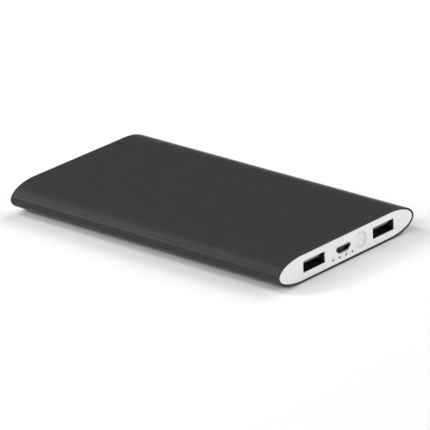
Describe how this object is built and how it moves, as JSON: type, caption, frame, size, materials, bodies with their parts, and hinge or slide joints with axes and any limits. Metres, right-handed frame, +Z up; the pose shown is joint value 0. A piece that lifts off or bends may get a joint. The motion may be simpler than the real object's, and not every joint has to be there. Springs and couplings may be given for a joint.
{
  "type": "power bank",
  "caption": "Slim portable battery in a one-piece metal sleeve with elliptical sides, white end covers, charging sockets, charge lights and a round push button.",
  "frame": {"origin": "middle of the underside, on the floor plane", "axes": "+Y along the length towards the plain rear cover, the sockets facing -Y; +Z up; +X to the right when looking at +Y, so the button is right of the middle"},
  "size_m": [0.08, 0.139, 0.0118],
  "materials": {
    "sleeve": "matt anodised dark grey",
    "white_cover": "matt white",
    "white_button": "matt white",
    "adhesive": "matt translucent film",
    "inner_plastic": "black moulded plastic",
    "screw_steel": "zinc plated",
    "shell_steel": "dark nickel plated",
    "micro_steel": "nickel plated",
    "socket_plastic": "black glass-filled plastic",
    "contact_gold": "gold flash",
    "switch_plastic": "stamped switch frame",
    "plunger_plastic": "cream plastic",
    "clear_plastic": "clear moulded plastic",
    "led_white": "white chip with pale lens",
    "board_laminate": "green solder mask",
    "ferrite": "moulded ferrite",
    "chip_plastic": "black epoxy",
    "tantalum_plastic": "yellow epoxy",
    "ceramic": "tan ceramic",
    "resistor_black": "black film with tinned ends",
    "pouch_foil": "laminated aluminium foil",
    "nickel": "nickel strip",
    "foam": "soft black foam",
    "sensor_bead": "black epoxy bead"
  },
  "bodies": {
    "casing": {"sleeve": "sleeve", "front_cover": "white_cover", "rear_cover": "white_cover", "front_tape": "adhesive", "rear_tape": "adhesive", "front_frame": "inner_plastic", "rear_frame": "inner_plastic", "front_screws": "screw_steel", "rear_screws": "screw_steel", "board_screws": "screw_steel", "usb_shell_left": "shell_steel", "usb_shell_right": "shell_steel", "micro_usb_shell": "micro_steel", "usb_tongue_left": "socket_plastic", "usb_tongue_right": "socket_plastic", "micro_usb_tongue": "socket_plastic", "usb_contacts_left": "contact_gold", "usb_contacts_right": "contact_gold", "micro_usb_contacts": "contact_gold", "switch_body": "switch_plastic", "light_guide": "clear_plastic", "status_leds": "led_white", "circuit_board": "board_laminate", "power_inductor": "ferrite", "controller_chip": "chip_plastic", "power_transistors": "chip_plastic", "protection_chips": "chip_plastic", "tantalum_capacitors": "tantalum_plastic", "ceramic_capacitors": "ceramic", "resistors": "resistor_black", "cell_tray": "inner_plastic", "lower_cell": "pouch_foil", "upper_cell": "pouch_foil", "lower_cell_tabs": "nickel", "upper_cell_tabs": "nickel", "battery_link_positive": "nickel", "battery_link_negative": "nickel", "cell_tape": "adhesive", "foam_pad": "foam", "temperature_sensor": "sensor_bead"},
    "button": {"power_button": "white_button", "switch_plunger": "plunger_plastic"}
  },
  "joints": [
    {"name": "button_press", "type": "slide", "parent": "casing", "child": "button", "axis": [0, 1, 0], "range_m": [0, 0.0003], "stiffness_N_per_m": 5000}
  ]
}
